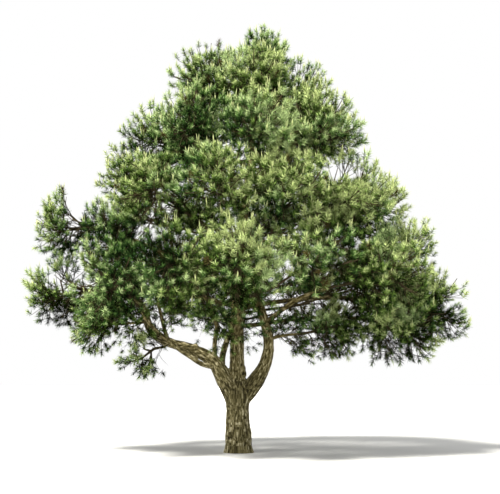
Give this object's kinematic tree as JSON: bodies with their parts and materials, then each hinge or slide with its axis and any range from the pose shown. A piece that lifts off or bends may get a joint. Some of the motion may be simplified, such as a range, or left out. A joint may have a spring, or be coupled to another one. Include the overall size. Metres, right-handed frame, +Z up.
{
  "type": "pine tree",
  "caption": "Open-grown pine tree: a stout trunk forking low into heavy crooked limbs, with a broad rounded crown of separate needle masses and pale upright shoot tips.",
  "frame": {"origin": "the middle of the flat cut under the trunk, on level ground", "axes": "+Z up along the trunk; -Y towards the picture's camera; +X to the right of its view"},
  "size_m": [10.2202, 7.8169, 9.9236],
  "materials": {
    "bark": "rough grey-brown bark",
    "needles": "matt green needles"
  },
  "bodies": {
    "root": {"back_bough": "bark", "front_bough": "bark", "left_back_stem": "bark", "left_far_bough": "bark", "left_hanging_needles": "needles", "left_hanging_shoot": "bark", "left_inner_needles": "needles", "left_inner_shoot": "bark", "left_limb_lower": "bark", "left_limb_upper": "bark", "left_lobe_bough": "bark", "left_lobe_needles": "needles", "left_twin_limb": "bark", "left_under_needles": "needles", "left_under_shoot": "bark", "left_upright_shoot": "bark", "low_back_left_needles": "needles", "low_back_needles": "needles", "low_back_right_needles": "needles", "low_front_left_needles": "needles", "low_front_needles": "needles", "low_front_right_needles": "needles", "low_left_back_needles": "needles", "low_left_front_needles": "needles", "low_left_needles": "needles", "low_right_back_needles": "needles", "low_right_front_needles": "needles", "low_right_needles": "needles", "middle_back_left_needles": "needles", "middle_back_needles": "needles", "middle_front_left_needles": "needles", "middle_front_needles": "needles", "middle_front_right_needles": "needles", "middle_left_back_needles": "needles", "middle_left_needles": "needles", "middle_right_back_needles": "needles", "middle_right_front_needles": "needles", "middle_right_needles": "needles", "right_far_bough": "bark", "right_inner_needles": "needles", "right_limb_lower": "bark", "right_limb_upper": "bark", "right_long_branch": "bark", "right_low_branch": "bark", "right_rising_branch": "bark", "right_shoulder_needles": "needles", "right_under_needles": "needles", "top_back_needles": "needles", "top_front_needles": "needles", "top_left_needles": "needles", "top_needles": "needles", "top_right_needles": "needles", "trunk": "bark", "upper_back_left_needles": "needles", "upper_back_right_needles": "needles", "upper_front_left_needles": "needles", "upper_front_needles": "needles", "upper_front_right_needles": "needles", "upper_left_needles": "needles", "upper_right_needles": "needles"}
  },
  "joints": []
}
